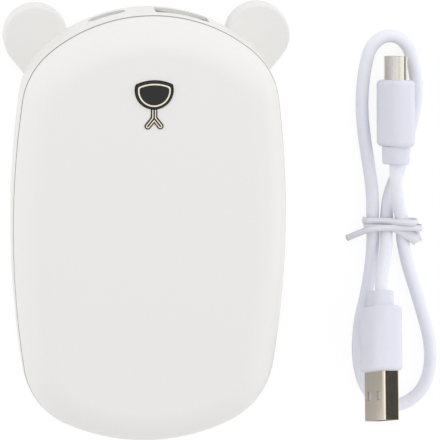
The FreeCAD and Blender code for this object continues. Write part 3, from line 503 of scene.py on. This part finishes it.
def drawn_nickel():
    # Deep-drawn and plated shell of the small plug, with faint drawing lines. Its paler colour than the
    # large plug's shell is painted light, making up for the shaded cord it reflects
    finish, tree, place = begin("drawn_nickel", {"Metallic": 1.0})
    lines = add(tree, "ShaderNodeMapping", {"Vector": place, "Scale": repeats(0.3, 5.0, 0.3)})
    drawing = add(tree, "ShaderNodeTexNoise",
                  {"Vector": lines.outputs["Vector"], "Scale": 1.0, "Detail": 2.0})
    dress(tree, drawing.outputs["Fac"], ("#F0EBE0", "#E6E1D5"), roughness=(0.2, 0.32), relief=0.003)
    return finish


def plug_resin():
    # Moulded resin inside the plugs: plain pale grey, dull
    finish, tree, place = begin("plug_resin", {"IOR": 1.55})
    grain = add(tree, "ShaderNodeTexNoise", {"Vector": place, "Scale": repeat(0.4), "Detail": 2.0})
    dress(tree, grain.outputs["Fac"], ("#C6C4C4", "#BCBABA"), roughness=(0.45, 0.55), relief=0.005)
    return finish


def tie_sleeve():
    # Extruded plastic sleeve of the tie: thin and slightly milky white, with a faint mottle
    finish, tree, place = begin("tie_sleeve", {"IOR": 1.5})
    grain = add(tree, "ShaderNodeTexNoise", {"Vector": place, "Scale": repeat(0.8), "Detail": 2.0})
    dress(tree, grain.outputs["Fac"], ("#EAE9F1", "#E3E2EA"), roughness=(0.34, 0.46), relief=0.01)
    return finish


def finish_pieces(cord, tie):
    """Give every piece its finish."""
    shell, lacquer, gold = satin_abs(), black_lacquer(), pale_gold()
    grip, jacket, sleeving = moulded_grip(), jacket_painted_light(), tie_sleeve()
    sleeve, nickel, sheet = shrink_sleeve(), nickel_strip(), aluminium_sheet()
    film, foam, nylon = polyimide_film(), cell_foam(), black_nylon()
    socket_metal, socket_core, contact = socket_nickel(), socket_resin(), contact_gold()
    plug_core = plug_resin()
    finishes = {
        "rear_housing": shell, "front_cover": shell, "nose_button": lacquer, "mouth_badge": lacquer,
        "nose_line": gold, "mouth_line": gold, "battery_cell_left": sleeve, "battery_cell_right": sleeve,
        "lower_cell_strip": nickel, "upper_cell_strip": nickel, "front_heat_plate": sheet,
        "rear_heat_plate": sheet, "front_heater_film": film, "rear_heater_film": film,
        "front_foam_pad": foam, "rear_foam_pad": foam, "main_board": solder_mask(),
        "board_screws": zinc_plate(), "switch_body": nylon, "switch_plunger": nylon,
        "controller_chip": chip_epoxy(), "inductor": pressed_ferrite(), "capacitors": drawn_can(),
        "status_leds": lamp_resin(), "thermistor": bead_glass(),
        "usb_a_port_shell": socket_metal, "usb_c_port_shell": socket_metal, "usb_a_port_core": socket_core,
        "usb_c_port_core": socket_core, "usb_a_port_contacts": contact, "usb_a_plug_contacts": contact,
        "usb_a_plug_grip": grip, "usb_c_plug_grip": grip, "usb_a_plug_shell": folded_nickel(),
        "usb_c_plug_shell": drawn_nickel(), "usb_a_plug_tongue": plug_core, "usb_c_plug_core": plug_core,
        "charging_cord": jacket, "twist_tie": sleeving,
    }
    for lead in ("battery_leads", "front_heater_leads", "rear_heater_leads"):
        finishes[lead] = silicone_wire(lead)
    for name, node in nodes.items():
        node.data.materials.clear()
        node.data.materials.append(finishes[name])
    cord.data.materials.append(jacket)
    tie.data.materials.append(sleeving)


def shows_surroundings(tree):
    """1 for rays that show what stands round the object: from the camera, off gloss and through glass."""
    rays = add(tree, "ShaderNodeLightPath").outputs
    gloss = add(tree, "ShaderNodeMath", {0: rays["Is Camera Ray"], 1: rays["Is Glossy Ray"]},
                operation="MAXIMUM")
    glass = add(tree, "ShaderNodeMath", {0: gloss.outputs["Value"], 1: rays["Is Transmission Ray"]},
                operation="MAXIMUM")
    return glass.outputs["Value"]


def set_world():
    """White surroundings that light as a tent does: more from low down, both sides and the ear end."""
    world = bpy.data.worlds.new("light_tent")
    world.use_nodes = True
    bpy.context.scene.world = world
    tree = world.node_tree
    direction = add(tree, "ShaderNodeTexCoord").outputs["Generated"]
    axes = add(tree, "ShaderNodeSeparateXYZ", {"Vector": direction}).outputs
    aside = add(tree, "ShaderNodeMath", {0: axes["X"], 1: axes["X"]}, operation="MULTIPLY").outputs["Value"]
    shares = [(axes["Z"], 0.0, light_by_height), (aside, 0.0, light_aside),
              (axes["X"], -1.0, light_to_right), (axes["Y"], -1.0, light_to_ears)]
    level = 1.0
    for place, least, (first, last) in shares:
        share = add(tree, "ShaderNodeMapRange",
                    {"Value": place, "From Min": least, "To Min": first, "To Max": last})
        level = add(tree, "ShaderNodeMath", {0: level, 1: share.outputs["Result"]},
                    operation="MULTIPLY").outputs["Value"]
    tent = add(tree, "ShaderNodeBackground", {"Color": linear("#FFFFFF"), "Strength": level})
    white = add(tree, "ShaderNodeBackground", {"Color": linear("#FFFFFF"), "Strength": 1.0})
    both = add(tree, "ShaderNodeMixShader",
               {0: shows_surroundings(tree), 1: tent.outputs[0], 2: white.outputs[0]})
    tree.links.new(both.outputs[0], tree.nodes["World Output"].inputs["Surface"])


def flat_card(name, corners):
    """One flat four-sided face by its corners in millimetres, as part of the stage."""
    sheet = bmesh.new()
    sheet.faces.new([sheet.verts.new(metres(corner)) for corner in corners])
    mesh = bpy.data.meshes.new(name)
    sheet.to_mesh(mesh)
    sheet.free()
    card = bpy.data.objects.new(name, mesh)
    bpy.context.scene.collection.objects.link(card)
    return card


def mirrored_card(name, corners, colour):
    """A dull card that shows only in reflections."""
    card = flat_card(name, corners)
    card.visible_camera = False
    card.visible_diffuse = False
    card.visible_shadow = False
    finish = bpy.data.materials.new(name)
    finish.use_nodes = True
    shader = finish.node_tree.nodes["Principled BSDF"]
    shader.inputs["Base Color"].default_value = linear(colour)
    shader.inputs["Roughness"].default_value = 0.9
    card.data.materials.append(finish)


def set_stage():
    """Pale floor that shows white but keeps a faint shadow, and cards for the large plug to reflect."""
    corners = [(-1, -1), (1, -1), (1, 1), (-1, 1)]
    floor = flat_card("floor", [(x * floor_reach, y * floor_reach, -floor_sink) for x, y in corners])
    finish = bpy.data.materials.new("pale_floor")
    finish.use_nodes = True
    tree = finish.node_tree
    tree.nodes.remove(tree.nodes["Principled BSDF"])
    paper = add(tree, "ShaderNodeBsdfDiffuse", {"Color": linear("#E6E6E6")})
    glow = add(tree, "ShaderNodeEmission", {"Strength": 0.86})
    shade = add(tree, "ShaderNodeBsdfDiffuse", {"Color": linear("#767676")})
    lit = add(tree, "ShaderNodeAddShader", {0: glow.outputs[0], 1: shade.outputs[0]})
    both = add(tree, "ShaderNodeMixShader",
               {0: shows_surroundings(tree), 1: paper.outputs[0], 2: lit.outputs[0]})
    tree.links.new(both.outputs[0], tree.nodes["Material Output"].inputs["Surface"])
    floor.data.materials.append(finish)
    mirrored_card("dark_card", dark_corners, "#121211")
    mirrored_card("grey_card", grey_corners, "#C4C4C4")


def set_lamp():
    """One wide soft lamp, high beyond the ear end."""
    data = bpy.data.lights.new("soft_lamp", "AREA")
    data.shape = "DISK"
    data.size = lamp_width * millimetre
    data.energy = lamp_power
    lamp = bpy.data.objects.new("soft_lamp", data)
    bpy.context.scene.collection.objects.link(lamp)
    place = metres(lamp_place)
    lamp.matrix_world = Matrix.LocRotScale(place, (-place).to_track_quat("-Z", "Y"), None)


bpy.context.scene.view_settings.view_transform = "Standard"
set_camera()
cord = make_cord()
tie = make_tie()
finish_pieces(cord, tie)
set_world()
set_stage()
set_lamp()
